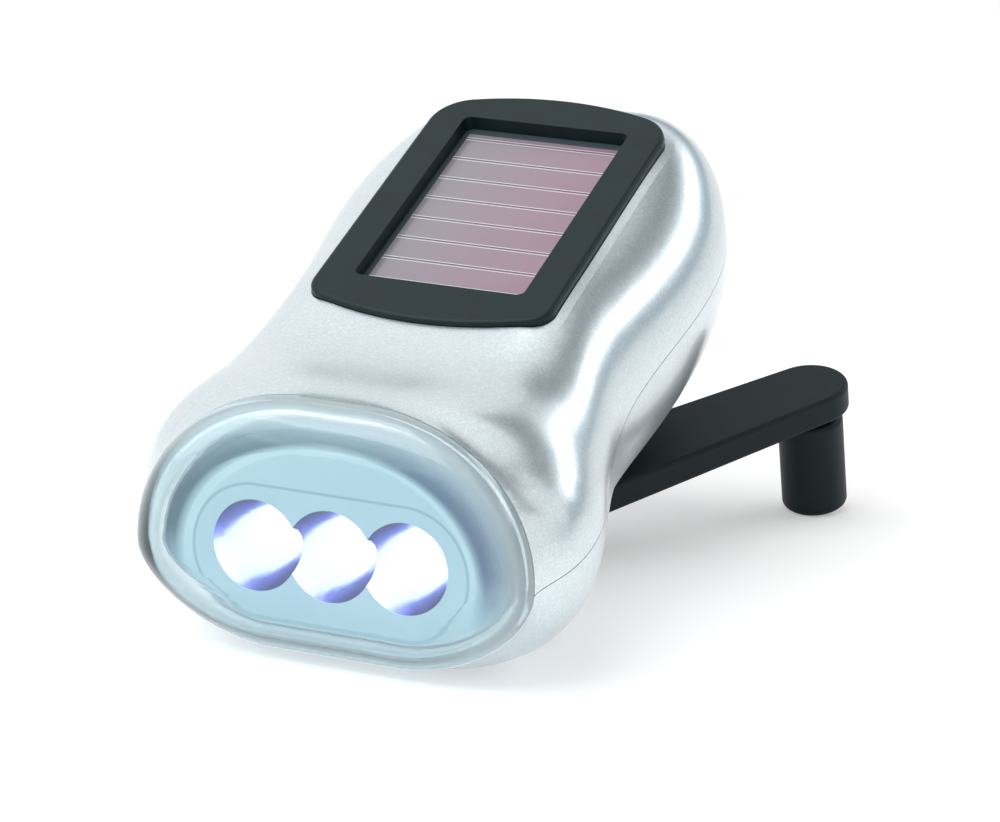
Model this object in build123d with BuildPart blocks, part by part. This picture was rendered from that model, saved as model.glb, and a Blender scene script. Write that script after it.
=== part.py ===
"""Hand-cranked pocket flashlight with a solar panel, in millimetres.

The beam points to -Y, the tail is at +Y and +Z is up. The origin lies on the face of the flat
foot under the nose, on the centre line. The crank arm turns just below the underside, and its
knob reaches further down.
"""
from build123d import *
from math import acos, cos, degrees, pi, radians, sin, sqrt, tan
import os

os.makedirs("parts", exist_ok=True)

# ---------------------------------------------------------------- driving dimensions
wall = 1.8                 # thickness of the two silver shells
seam_gap = 0.12            # gap left at each moulded seam
running = 0.06             # radial clearance of a shaft in its bearing
fit = 0.2                  # clearance of a piece that drops into another
snug = 0.03                # radial clearance of a pressed or screwed joint

parting_front = 22.3       # height of the parting line above the origin
parting_slope = 0.16       # how fast it climbs towards the tail
widest_above_parting = 0.6

panel_y = 42.0             # middle of the solar panel, behind the origin
panel_height = 46.0        # top of the bezel above that point
panel_pitch = 8.0          # the bezel climbs towards the tail, in degrees

nose_tilt = 15.5           # the lens looks up by this much
nose_start = -22.7         # where the plane of the lens seam meets the underside
nose_half_width = 31.2
nose_top = 42.8
nose_bottom = 5.9

bulge_half_width = 35.3    # widest part of the nose, behind the lens
waist_half_width = 29.5
grip_half_width = 31.2
foot_height = 0.4          # the foot under the nose stands this far out of the underside
foot_size = (22.0, 11.0)
foot_corner = 3.0
tail_end = 88.7            # the flat round the button
keel_dip = -0.3            # the rounded form dips this far before the flat is cut
crown_flat = 15.0          # half-width of the flat crown under the bezel

bezel_half_width = 19.6
bezel_front = 23.4         # from the middle of the panel to the front corners
bezel_rear = 27.4
bezel_bow_front = 3.9      # how far the ends bow out beyond the corners
bezel_bow_rear = 3.9
bezel_front_corner = 4.0
bezel_rear_corner = 7.0
bezel_proud = 0.8          # the bezel stands this far out of the shell
bezel_flange = 2.0
bezel_skirt = 6.0
bezel_ledge = 1.4          # width of the shell's rim under the flange
bezel_rim = 3.0            # thickness of that rim
window_half_width = 13.8
window_front = 18.8
window_rear = 24.0
window_corner = 1.2
cell_sink = 2.3            # the panel lies this far below the top of the bezel
cell_thickness = 1.6
cell_margin = 0.4          # the panel reaches this far under the bezel
cell_strips = 8
strip_line = 0.3

lens_depth = 5.8
lens_wall = 1.8
lens_round = 5.4
lens_rise = 3.0            # the lower edge of the lens also climbs towards the face
lens_lip = 2.0             # the lens plugs this far into the nose
lens_rim = 3.2             # thickness of the clear rim at the seam
lens_hollow = [(-2.5, 3.2), (1.2, 3.3), (2.8, 4.4), (4.2, 7.4)]   # depth and inset of the space behind the face
cup_pitch = 11.8
cup_diameter = 13.6
cup_depth = 9.0
cup_wall = 0.8
cup_height = 20.8          # height of the cups' centres, along the plane of the seam
reflector_front = 1.0      # the reflector's face lies this far in front of the seam
reflector_thickness = 1.0
led_diameter = 5.0
led_flange = 5.8
led_length = 8.6
led_recess = 4.0           # the tip of each diode lies this far behind the face
led_board_size = (36.0, 11.0, 1.6)

crank_y = 36.0             # axis of the crank
crank_reach = 58.0         # from that axis to the axis of the knob
crank_angle = 53.8         # the arm's direction as drawn, from +X towards +Y
arm_gap = 0.9              # below the underside
arm_thickness = 4.6
arm_root_radius = 8.9
arm_tip_radius = 6.4
arm_edge = 0.7
knob_diameter = 10.6
knob_length = 17.4
knob_collar = 8.4
knob_gap = 0.3
knob_neck = 0.8
pin_diameter = 4.0
pin_head = 6.4
pin_head_height = 1.6

shaft_diameter = 5.0
shaft_square = 3.6
shaft_pivot = 3.0
bush_wall = 1.8
bush_flange = 11.0
bush_flange_height = 0.9
crank_screw_diameter = 2.4
crank_screw_head = 7.0
crank_screw_head_height = 1.6

gear_module = 0.6
gear_face = 2.4            # width of a gear's face
pressure_angle = 25.0
addendum = 0.9             # in modules
dedendum = 1.2
backlash = 0.16
crank_teeth = 45
idler_1_teeth = 36
idler_2_teeth = 30
pinion_teeth = 12
rotor_teeth = 10
gear_floor = 4.2           # height of the lowest gear
level_gap = 0.7            # between one gear level and the next
axle_diameter = 1.6
idler_1_direction = 90.0   # directions of the centre lines, from +X
idler_2_direction = 131.3
rotor_direction = 0.0
plate_thickness = 1.6
plate_gap = 0.8            # between the highest gear and the plate

dynamo_diameter = 20.0
dynamo_height = 13.8
dynamo_wall = 1.2
rotor_shaft = 2.0
magnet_diameter = 15.0
magnet_height = 7.0

battery_y = 10.0
battery_diameter = 15.0    # a stack of three rechargeable button cells
battery_length = 18.6
battery_height = 12.6

board_size = (26.0, 47.0, 1.6)
board_y = 57.0
board_gap = 0.2
switch_size = (7.4, 4.0, 7.4)
plunger_diameter = 3.4
plunger_length = 4.0

button_diameter = 8.0
button_proud = 1.4
button_flange = 9.6
button_travel = 1.0

screw_diameter = 2.6
screw_head = 5.0
screw_head_height = 1.8
screw_boss = 7.0
# Each case screw: place of its axis, height of its seat, length below the head.
case_screws = [(-19, 3, 4.2, 26), (19, 3, 4.2, 26), (-17, 76, 19.5, 21), (17, 76, 19.5, 21)]
plate_screws_xy = [(-16.0, 48.0), (15.5, 52.0), (3.0, 77.0)]
plate_screw_diameter = 2.0
plate_screw_head = 4.0

# ---------------------------------------------------------------- places worked out from them
level_a = gear_floor
level_b = level_a + gear_face + level_gap
level_c = level_b + gear_face + level_gap
plate_bottom = level_c + gear_face + plate_gap
plate_top = plate_bottom + plate_thickness
board_bottom = plate_top + dynamo_height + board_gap
board_top = board_bottom + board_size[2]


def mesh_distance(teeth_a, teeth_b):
    """Distance between the axes of two gears in mesh."""
    return gear_module * (teeth_a + teeth_b) / 2


def step(place, distance, direction):
    """Point at a distance from another, in a direction given in degrees."""
    return (place[0] + distance * cos(radians(direction)), place[1] + distance * sin(radians(direction)))


crank_xy = (0.0, crank_y)
idler_1_xy = step(crank_xy, mesh_distance(crank_teeth, pinion_teeth), idler_1_direction)
idler_2_xy = step(idler_1_xy, mesh_distance(idler_1_teeth, pinion_teeth), idler_2_direction)
rotor_xy = step(idler_2_xy, mesh_distance(idler_2_teeth, rotor_teeth), rotor_direction)
knob_xy = step(crank_xy, crank_reach, crank_angle)
arm_top = -arm_gap
arm_bottom = arm_top - arm_thickness
knob_top = arm_bottom - knob_gap


bush_top = gear_floor - 0.5
axle_bottom = 1.2
plate_screw_length = 9.0
plate_corners = [(-20, 28), (20, 28), (20, 60), (12.6, 79.5), (-12.6, 79.5), (-20, 60)]
board_pillars = [(-10.5, 38), (10.5, 38), (-10.5, 75), (10.5, 75)]
rotor_bearing = 4.4
arm_seat = arm_bottom + crank_screw_head_height + 0.3
crank_screw_length = 7.0
knob_bottom = knob_top - knob_length
knob_round = 0.9
switch_y = board_y + board_size[1] / 2 - switch_size[1] / 2
button_height = board_top + switch_size[2] / 2
button_clearance = 0.1
button_flange_height = 1.2

# The middle of each reflector cup, on the plane of the lens seam.
nose_forward = (0, -cos(radians(nose_tilt)), sin(radians(nose_tilt)))
nose_up = (0, sin(radians(nose_tilt)), cos(radians(nose_tilt)))
cup_places = []
for cup_x in (-cup_pitch, 0, cup_pitch):
    cup_places.append((cup_x, nose_start + cup_height * tan(radians(nose_tilt)), cup_height))
led_back = reflector_front - led_recess - led_length
led_board_plane = Plane(
    origin=(
        0,
        cup_places[1][1] + (led_back - led_board_size[2] - snug) * nose_forward[1],
        cup_height + (led_back - led_board_size[2] - snug) * nose_forward[2],
    ),
    x_dir=(1, 0, 0),
    z_dir=nose_forward,
)


def cup_section(place):
    """Plane through a cup's axis: x runs outwards, y runs forwards along the beam."""
    return Plane(origin=place, x_dir=(1, 0, 0), z_dir=(0, -nose_up[1], -nose_up[2]))


# ---------------------------------------------------------------- the body's form
def parting_height(y):
    """Height of the parting line at a distance y behind the origin."""
    return parting_front + parting_slope * y


def crown_height(y):
    """Height of the shell's crown, which follows the bezel's plane."""
    return panel_height + (y - panel_y) * tan(radians(panel_pitch)) - bezel_proud


def widest_height(start, tilt):
    """Height along a leaning station of the body's widest point, just above the parting line."""
    slope = parting_slope * tan(radians(tilt))
    return (parting_height(start) / (1 - slope) + widest_above_parting) / cos(radians(tilt))


def station_plane(start, tilt=0.0):
    """Plane across the body that meets the underside at start and leans back by tilt degrees."""
    forward = (0, -cos(radians(tilt)), sin(radians(tilt)))
    return Plane(origin=(0, start, 0), x_dir=(1, 0, 0), z_dir=forward)


def quarter_round(side, end, squareness):
    """Curve from the widest point to a flat: 0.55 makes an ellipse, more is squarer."""
    (x0, y0), (x1, y1) = side, end
    Bezier(side, (x0, y0 + squareness * (y1 - y0)), (x1 + squareness * (x0 - x1), y1), end)


def body_outline(half_width, top, bottom, widest, crown, keel, low):
    """Closed outline: flat crown, flat keel and four quarter rounds that meet at the widest point."""
    with BuildLine() as outline:
        Line((-crown, top), (crown, top))
        quarter_round((half_width, widest), (crown, top), 0.57)
        quarter_round((half_width, widest), (keel, bottom), low)
        Line((keel, bottom), (-keel, bottom))
        quarter_round((-half_width, widest), (-keel, bottom), low)
        quarter_round((-half_width, widest), (-crown, top), 0.57)
    make_face(outline.edges())


# Stations from nose to tail: where each meets the underside, its tilt, half-width, top, bottom,
# widest point, half-widths of the flat crown and keel, squareness below the widest point, and the
# shell's thickness as cut there. Heights are vertical ones; None is just above the parting line.
stations = [
    (nose_start, nose_tilt, nose_half_width, nose_top, nose_bottom, None, 4, 9.8, 0.51, 1.8),
    (-15, 12.5, 34.5, 42.1, 2.3, None, 7, 11, 0.58, 1.8),
    (-6, 8.5, bulge_half_width, 41.2, 0.1, None, 9, 12, 0.62, 1.8),
    (4, 4, 33.2, 40.6, keel_dip, None, 10, 12, 0.6, 1.8),
    (22, 0, waist_half_width, crown_height(22), keel_dip, None, crown_flat, 11, 0.48, 1.8),
    (35, 0, 29.9, crown_height(35), keel_dip, None, crown_flat, 10, 0.45, 1.8),
    (48, 0, grip_half_width, crown_height(48), keel_dip, None, crown_flat, 9.5, 0.43, 1.8),
    (60, 0, 30.5, crown_height(60), keel_dip, None, crown_flat, 9, 0.42, 1.8),
    (66.7, 0, 28.5, crown_height(66.7), -0.1, None, 14, 9, 0.42, 1.8),
    (72.8, 0, 25.6, 48.9, 1.2, None, 12, 8.5, 0.42, 2.0),
    (78.5, 0, 21.8, 46.6, 4.6, 35.0, 10, 8, 0.44, 2.4),
    (83.3, 0, 16.9, 43.6, 10.2, 35.0, 8, 7, 0.46, 3.2),
]
tail_rounds = [
    (86.5, 0, 11.9, 41.0, 16.6, 34.8, 6, 6, 0.5, 0),
    (tail_end, 0, 6.9, 39.0, 27.5, button_height, 4, 4, 0.55, 0),
]
hollow_end = [(86.5, 0, 8.3, 38.4, 20.4, 34.8, 4, 4, 0.5, 0)]


def body_volume(rows, inset_share):
    """One solid through the stations, inset by a share of the shell's thickness."""
    with BuildPart() as volume:
        for start, tilt, half_width, top, bottom, widest, crown, keel, low, thickness in rows:
            lean = cos(radians(tilt))
            side = widest_height(start, tilt) if widest is None else widest
            inset = inset_share * thickness
            with BuildSketch(station_plane(start, tilt)):
                body_outline(half_width - inset, top / lean - inset, bottom / lean + inset, side, crown, keel, low)
        loft()
        # The underside is a true plane.
        with BuildSketch(Plane.XY.offset(foot_height + inset_share * wall)):
            with Locations((0, panel_y)):
                Rectangle(120, 200)
        extrude(amount=-5, mode=Mode.SUBTRACT)
    return volume.part


seam_plane = station_plane(nose_start, nose_tilt)
parting_plane = Plane(origin=(0, 0, parting_front), x_dir=(1, 0, 0), z_dir=(0, -parting_slope, 1))
panel_plane = Plane(
    origin=(0, panel_y, panel_height),
    x_dir=(1, 0, 0),
    z_dir=(0, -sin(radians(panel_pitch)), cos(radians(panel_pitch))),
)
button_plane = Plane(origin=(0, tail_end, button_height), x_dir=(-1, 0, 0), z_dir=(0, 1, 0))


def nose_outline(inset, rise=0.0):
    """The body's outline in the plane of the lens seam; its lower edge can rise further."""
    lean = cos(radians(nose_tilt))
    half_width = nose_half_width - inset
    bottom = nose_bottom / lean + inset + rise
    body_outline(half_width, nose_top / lean - inset, bottom, widest_height(nose_start, nose_tilt), 4, 9.8, 0.51)


def bezel_outline(inset=0.0):
    """Outline of the bezel: straight sides, bowed ends and rounded corners."""
    w = bezel_half_width - inset
    front = -bezel_front + inset
    rear = bezel_rear - inset
    with BuildLine() as outline:
        ThreePointArc((-w, front), (0, front - bezel_bow_front), (w, front))
        Line((w, front), (w, rear))
        ThreePointArc((w, rear), (0, rear + bezel_bow_rear), (-w, rear))
        Line((-w, rear), (-w, front))
    make_face(outline.edges())
    fillet(vertices().group_by(Axis.Y)[0], bezel_front_corner - min(inset, 2.0))
    fillet(vertices().group_by(Axis.Y)[-1], bezel_rear_corner - inset)


def window_outline(margin=0.0):
    """Outline of the window over the solar panel."""
    with Locations((0, (window_rear - window_front) / 2)):
        RectangleRounded(
            2 * (window_half_width + margin), window_front + window_rear + 2 * margin, window_corner
        )


# ---------------------------------------------------------------- the two shells
outer_volume = body_volume(stations + tail_rounds, 0)
inner_volume = body_volume(stations + hollow_end, 1)

# Four screw posts run from the underside to the crown; the parting line cuts them in two.
with BuildPart() as screw_posts:
    with BuildSketch(Plane.XY):
        with Locations([(x, y) for x, y, seat, length in case_screws]):
            Circle(screw_boss / 2)
    extrude(amount=60)
    add(outer_volume, mode=Mode.INTERSECT)

# The rim that carries the bezel is thicker than the shell.
with BuildPart() as bezel_seat:
    with BuildSketch(panel_plane.offset(-bezel_flange - bezel_rim)):
        bezel_outline(-bezel_ledge)
    extrude(amount=bezel_rim + 0.8)
    add(outer_volume, mode=Mode.INTERSECT)

with BuildPart() as whole_shell:
    add(outer_volume)
    add(inner_volume, mode=Mode.SUBTRACT)
    add(screw_posts.part)
    # The push button sits in the tail: a hole outside, a wider pocket inside.
    with BuildSketch(button_plane.offset(2)):
        Circle(button_diameter / 2 + 0.1)
    extrude(amount=-6, mode=Mode.SUBTRACT)
    with BuildSketch(button_plane.offset(-wall)):
        Circle(button_flange / 2 + fit)
    extrude(amount=-7, mode=Mode.SUBTRACT)
    # Counterbored holes for the case screws.
    for x, y, seat, length in case_screws:
        with BuildSketch(Plane.XY.offset(-5)):
            with Locations((x, y)):
                Circle(screw_head / 2 + fit)
        extrude(amount=5 + seat, mode=Mode.SUBTRACT)
        with BuildSketch(Plane.XY.offset(seat)):
            with Locations((x, y)):
                Circle(screw_diameter / 2 + snug)
        extrude(amount=length + 0.4, mode=Mode.SUBTRACT)

with BuildPart() as plate_posts:
    with BuildSketch(Plane.XY):
        with Locations(plate_screws_xy):
            Circle(3)
    extrude(amount=plate_bottom - snug)
    add(outer_volume, mode=Mode.INTERSECT)

with BuildPart() as lamp_posts:
    with BuildSketch(led_board_plane.offset(led_board_size[2] + 1.4)):
        with Locations((-led_board_size[0] / 2 - 0.6, -9), (led_board_size[0] / 2 + 0.6, -9)):
            Rectangle(5, 24)
    extrude(amount=-led_board_size[2] - 2.8)
    add(outer_volume, mode=Mode.INTERSECT)
    split(bisect_by=parting_plane.offset(-seam_gap / 2), keep=Keep.BOTTOM)
    with BuildSketch(led_board_plane.offset(led_board_size[2] + snug)):
        with Locations((0, 20)):
            Rectangle(led_board_size[0] + 2 * snug, led_board_size[1] + 2 * snug + 40)
    extrude(amount=-led_board_size[2] - 2 * snug, mode=Mode.SUBTRACT)

with BuildPart() as upper_shell:
    add(whole_shell.part)
    split(bisect_by=parting_plane.offset(seam_gap / 2), keep=Keep.TOP)
    add(bezel_seat.part)
    with BuildSketch(panel_plane.offset(-bezel_flange - snug)):
        bezel_outline(-seam_gap)
    extrude(amount=8, mode=Mode.SUBTRACT)
    with BuildSketch(panel_plane.offset(-12)):
        bezel_outline(bezel_ledge)
    extrude(amount=14, mode=Mode.SUBTRACT)
upper_shell.part.label = "upper_shell"
export_step(upper_shell.part, "parts/upper_shell.step")

with BuildPart() as lower_shell:
    add(whole_shell.part)
    split(bisect_by=parting_plane.offset(-seam_gap / 2), keep=Keep.BOTTOM)
    # The foot under the nose.
    with BuildSketch(Plane.XY):
        RectangleRounded(foot_size[0], foot_size[1], foot_corner)
    extrude(amount=foot_height + wall / 2)
    # Boss round the crank's bush.
    with BuildSketch(Plane.XY.offset(wall / 2)):
        with Locations(crank_xy):
            Circle(shaft_diameter / 2 + bush_wall + 2.2)
    extrude(amount=bush_top - 0.3 - wall / 2)
    with BuildSketch(Plane.XY.offset(-1)):
        with Locations(crank_xy):
            Circle(shaft_diameter / 2 + bush_wall + snug)
    extrude(amount=bush_top + 2, mode=Mode.SUBTRACT)
    # Low bosses with blind holes for the two fixed axles.
    with BuildSketch(Plane.XY.offset(wall / 2)):
        with Locations(idler_1_xy, idler_2_xy):
            Circle(axle_diameter / 2 + 1.4)
    extrude(amount=gear_floor - 0.5 - wall / 2)
    with BuildSketch(Plane.XY.offset(axle_bottom - snug)):
        with Locations(idler_1_xy, idler_2_xy):
            Circle(axle_diameter / 2 + snug)
    extrude(amount=gear_floor, mode=Mode.SUBTRACT)
    # Posts that carry the gear plate, with pilot holes for its screws.
    add(plate_posts.part)
    with BuildSketch(Plane.XY.offset(plate_bottom - plate_screw_length)):
        with Locations(plate_screws_xy):
            Circle(plate_screw_diameter / 2 + snug)
    extrude(amount=plate_screw_length, mode=Mode.SUBTRACT)
    # Two ribs cut out to cradle the battery.
    with BuildSketch(Plane.XY.offset(wall / 2)):
        with Locations((-5.5, battery_y), (5.5, battery_y)):
            Rectangle(1.6, battery_diameter + 3)
    extrude(amount=battery_height - wall / 2)
    with BuildSketch(Plane.YZ.offset(-battery_length / 2)):
        with Locations((battery_y, battery_height)):
            Circle(battery_diameter / 2 + snug)
    extrude(amount=battery_length, mode=Mode.SUBTRACT)
    # Two slotted posts that hold the ends of the lamp board.
    add(lamp_posts.part)
lower_shell.part.label = "lower_shell"
export_step(lower_shell.part, "parts/lower_shell.step")

# ---------------------------------------------------------------- bezel and solar panel
with BuildPart() as panel_bezel:
    with BuildSketch(panel_plane.offset(-bezel_flange)):
        bezel_outline()
    extrude(amount=bezel_flange)
    with BuildSketch(panel_plane.offset(-bezel_skirt)):
        bezel_outline(bezel_ledge + seam_gap)
    extrude(amount=bezel_skirt - bezel_flange + 0.2)
    with BuildSketch(panel_plane.offset(-cell_sink)):
        window_outline(cell_margin + 0.05)
    extrude(amount=-bezel_skirt, mode=Mode.SUBTRACT)
    with BuildSketch(panel_plane.offset(-bezel_skirt)):
        window_outline()
    extrude(amount=bezel_skirt + 1, mode=Mode.SUBTRACT)
    top_face = faces().sort_by(Axis((0, 0, 0), panel_plane.z_dir))[-1]
    fillet(top_face.outer_wire().edges(), 0.7)
panel_bezel.part.label = "panel_bezel"
export_step(panel_bezel.part, "parts/panel_bezel.step")

with BuildPart() as solar_panel:
    with BuildSketch(panel_plane.offset(-cell_sink - cell_thickness)):
        window_outline(cell_margin)
    extrude(amount=cell_thickness - snug)
    # Scribed lines between the cells, and one along the edge.
    with BuildSketch(panel_plane.offset(-cell_sink - 0.12)):
        with Locations((0, (window_rear - window_front) / 2)):
            with GridLocations(1, (window_front + window_rear) / cell_strips, 1, cell_strips):
                Rectangle(2 * window_half_width - 2, strip_line)
    extrude(amount=1, mode=Mode.SUBTRACT)
solar_panel.part.label = "solar_panel"
export_step(solar_panel.part, "parts/solar_panel.step")

# ---------------------------------------------------------------- nose
def rim_inset(share):
    """How far the lens has rounded in at a share of its depth."""
    return lens_round * (1 - sqrt(1 - share ** 2))


with BuildPart() as front_lens:
    for share in (0, 0.4, 0.7, 0.9, 1):
        with BuildSketch(seam_plane.offset(seam_gap + share * (lens_depth - seam_gap))):
            nose_outline(0.1 + rim_inset(share), lens_rise * share)
    loft()
    # The lip that plugs into the shells.
    with BuildSketch(seam_plane.offset(-lens_lip)):
        nose_outline(wall + fit + 0.15, 0.3)
    extrude(amount=lens_lip + 0.5)
    # The hollow behind the face, open to the rear.
    for depth, inset in lens_hollow:
        with BuildSketch(seam_plane.offset(depth)):
            nose_outline(inset, lens_rise * max(0, depth) / lens_depth)
    loft(mode=Mode.SUBTRACT)
front_lens.part.label = "front_lens"
export_step(front_lens.part, "parts/front_lens.step")

with BuildPart() as reflector:
    with BuildSketch(seam_plane.offset(reflector_front - reflector_thickness)):
        nose_outline(lens_rim + fit + 0.1, 0.8)
    extrude(amount=reflector_thickness)
    for place in cup_places:
        with BuildSketch(cup_section(place)):
            with BuildLine():
                Polyline(
                    (cup_diameter / 2 + cup_wall, reflector_front - 0.3),
                    (cup_diameter / 2 + cup_wall, reflector_front - 0.45 * cup_depth),
                    (led_diameter / 2 + 0.1 + cup_wall, reflector_front - cup_depth),
                    (0, reflector_front - cup_depth),
                    (0, reflector_front - 0.3),
                    close=True,
                )
            make_face()
        revolve(axis=Axis(place, seam_plane.z_dir))
    for place in cup_places:
        with BuildSketch(cup_section(place)):
            with BuildLine():
                ThreePointArc(
                    (cup_diameter / 2, reflector_front),
                    (0.8 * cup_diameter / 2, reflector_front - 0.5 * cup_depth),
                    (led_diameter / 2 + 0.1, reflector_front - cup_depth + 0.6),
                )
                Polyline(
                    (led_diameter / 2 + 0.1, reflector_front - cup_depth + 0.6),
                    (led_diameter / 2 + 0.1, reflector_front - cup_depth - 1),
                    (0, reflector_front - cup_depth - 1),
                    (0, reflector_front + 1),
                    (cup_diameter / 2, reflector_front + 1),
                    (cup_diameter / 2, reflector_front),
                )
            make_face()
        revolve(axis=Axis(place, seam_plane.z_dir), mode=Mode.SUBTRACT)
reflector.part.label = "reflector"
export_step(reflector.part, "parts/reflector.step")

# Three white diodes with domed tips, a flange and two leads each.
for place, side in zip(cup_places, ("left", "middle", "right")):
    with BuildPart() as led:
        with BuildSketch(cup_section(place)):
            with BuildLine():
                Polyline(
                    (0, led_back),
                    (led_flange / 2, led_back),
                    (led_flange / 2, led_back + 1),
                    (led_diameter / 2, led_back + 1),
                    (led_diameter / 2, led_back + led_length - led_diameter / 2),
                )
                RadiusArc(
                    (led_diameter / 2, led_back + led_length - led_diameter / 2),
                    (0, led_back + led_length),
                    -led_diameter / 2,
                )
                Line((0, led_back + led_length), (0, led_back))
            make_face()
        revolve(axis=Axis(place, seam_plane.z_dir))
        with BuildSketch(Plane(origin=place, x_dir=(1, 0, 0), z_dir=seam_plane.z_dir).offset(led_back)):
            with Locations((-1.27, 0), (1.27, 0)):
                Rectangle(0.5, 0.5)
        extrude(amount=-led_board_size[2] - 1.2)
    led.part.label = f"led_{side}"
    export_step(led.part, f"parts/led_{side}.step")

with BuildPart() as led_board:
    with BuildSketch(led_board_plane.offset(led_board_size[2])):
        Rectangle(led_board_size[0], led_board_size[1])
        with Locations([(x + dx, 0) for x in (-cup_pitch, 0, cup_pitch) for dx in (-1.27, 1.27)]):
            Rectangle(0.56, 0.56, mode=Mode.SUBTRACT)
    extrude(amount=-led_board_size[2])
led_board.part.label = "led_board"
export_step(led_board.part, "parts/led_board.step")

# ---------------------------------------------------------------- gears
def tooth_radii(teeth):
    """Pitch, base, tip and root radius of a gear."""
    pitch = gear_module * teeth / 2
    base = pitch * cos(radians(pressure_angle))
    return pitch, base, pitch + addendum * gear_module, pitch - dedendum * gear_module


def involute(angle):
    """Involute function of a pressure angle in radians."""
    return tan(angle) - angle


def gear_points(place, teeth, phase):
    """Corners of a gear's outline: two or three straight facets along each involute flank."""
    pitch, base, tip, root = tooth_radii(teeth)
    half = (pi * gear_module / 2 - backlash / 2) / (2 * pitch)
    radii = [root, pitch, tip] if root > base else [root, base, pitch, tip]
    flank = []
    for radius in radii:
        angle = acos(min(1.0, base / max(radius, base)))
        flank.append((radius, half + involute(radians(pressure_angle)) - involute(angle)))
    points = []
    for tooth in range(teeth):
        middle = phase + 2 * pi * tooth / teeth
        for radius, angle in flank:
            points.append(step(place, radius, degrees(middle - angle)))
        for radius, angle in reversed(flank):
            points.append(step(place, radius, degrees(middle + angle)))
    return points


def gear_face_at(place, teeth, phase):
    """Outline of a gear with its axis at place and one tooth at the phase angle."""
    with BuildLine() as outline:
        Polyline(*gear_points(place, teeth, phase), close=True)
    make_face(outline.edges())


def meshing_phase(direction, teeth_a, phase_a, teeth_b):
    """Phase of gear b that meshes with gear a along a centre line, direction in degrees."""
    share = ((radians(direction) - phase_a) / (2 * pi / teeth_a)) % 1
    return radians(direction) + pi - (2 * pi / teeth_b) * (0.5 - share)


phase_1 = meshing_phase(idler_1_direction, crank_teeth, 0, pinion_teeth)
phase_2 = meshing_phase(idler_2_direction, idler_1_teeth, phase_1, pinion_teeth)
phase_3 = meshing_phase(rotor_direction, idler_2_teeth, phase_2, rotor_teeth)

with BuildPart() as crank_gear:
    with BuildSketch(Plane.XY.offset(level_a)):
        gear_face_at(crank_xy, crank_teeth, 0)
    extrude(amount=gear_face)
    # A thinner web with six round windows between hub and rim.
    with BuildSketch(Plane.XY.offset(level_a + gear_face - 0.7)):
        with Locations(crank_xy):
            Circle(11.4)
            Circle(4.6, mode=Mode.SUBTRACT)
    extrude(amount=0.7, mode=Mode.SUBTRACT)
    with BuildSketch(Plane.XY.offset(level_a)):
        with Locations(crank_xy):
            Circle(shaft_diameter / 2 + snug)
            with PolarLocations(8, 6):
                Circle(2.2)
    extrude(amount=gear_face, mode=Mode.SUBTRACT)
crank_gear.part.label = "crank_gear"
export_step(crank_gear.part, "parts/crank_gear.step")

# Each idler is one moulding: a large gear and a small one on a common hub.
with BuildPart() as compound_gear_1:
    with BuildSketch(Plane.XY.offset(level_a)):
        gear_face_at(idler_1_xy, pinion_teeth, phase_1)
    extrude(amount=gear_face + level_gap)
    with BuildSketch(Plane.XY.offset(level_b)):
        gear_face_at(idler_1_xy, idler_1_teeth, phase_1)
    extrude(amount=gear_face)
    with BuildSketch(Plane.XY.offset(level_b)):
        with Locations(idler_1_xy):
            Circle(1.9)
    extrude(amount=plate_bottom - 0.3 - level_b)
    with BuildSketch(Plane.XY.offset(level_a - 1)):
        with Locations(idler_1_xy):
            Circle(axle_diameter / 2 + running)
    extrude(amount=plate_top, mode=Mode.SUBTRACT)
compound_gear_1.part.label = "compound_gear_1"
export_step(compound_gear_1.part, "parts/compound_gear_1.step")

with BuildPart() as compound_gear_2:
    with BuildSketch(Plane.XY.offset(level_a - 0.2)):
        with Locations(idler_2_xy):
            Circle(1.9)
    extrude(amount=level_b - level_a + 0.4)
    with BuildSketch(Plane.XY.offset(level_b)):
        gear_face_at(idler_2_xy, pinion_teeth, phase_2)
    extrude(amount=gear_face + level_gap)
    with BuildSketch(Plane.XY.offset(level_c)):
        gear_face_at(idler_2_xy, idler_2_teeth, phase_2)
    extrude(amount=gear_face)
    with BuildSketch(Plane.XY.offset(level_a - 1)):
        with Locations(idler_2_xy):
            Circle(axle_diameter / 2 + running)
    extrude(amount=plate_top, mode=Mode.SUBTRACT)
compound_gear_2.part.label = "compound_gear_2"
export_step(compound_gear_2.part, "parts/compound_gear_2.step")

for place, number in ((idler_1_xy, 1), (idler_2_xy, 2)):
    with BuildPart() as gear_axle:
        with BuildSketch(Plane.XY.offset(axle_bottom)):
            with Locations(place):
                Circle(axle_diameter / 2)
        extrude(amount=plate_top - axle_bottom)
        chamfer(edges().group_by(Axis.Z)[-1], 0.2)
    gear_axle.part.label = f"gear_axle_{number}"
    export_step(gear_axle.part, f"parts/gear_axle_{number}.step")

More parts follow.
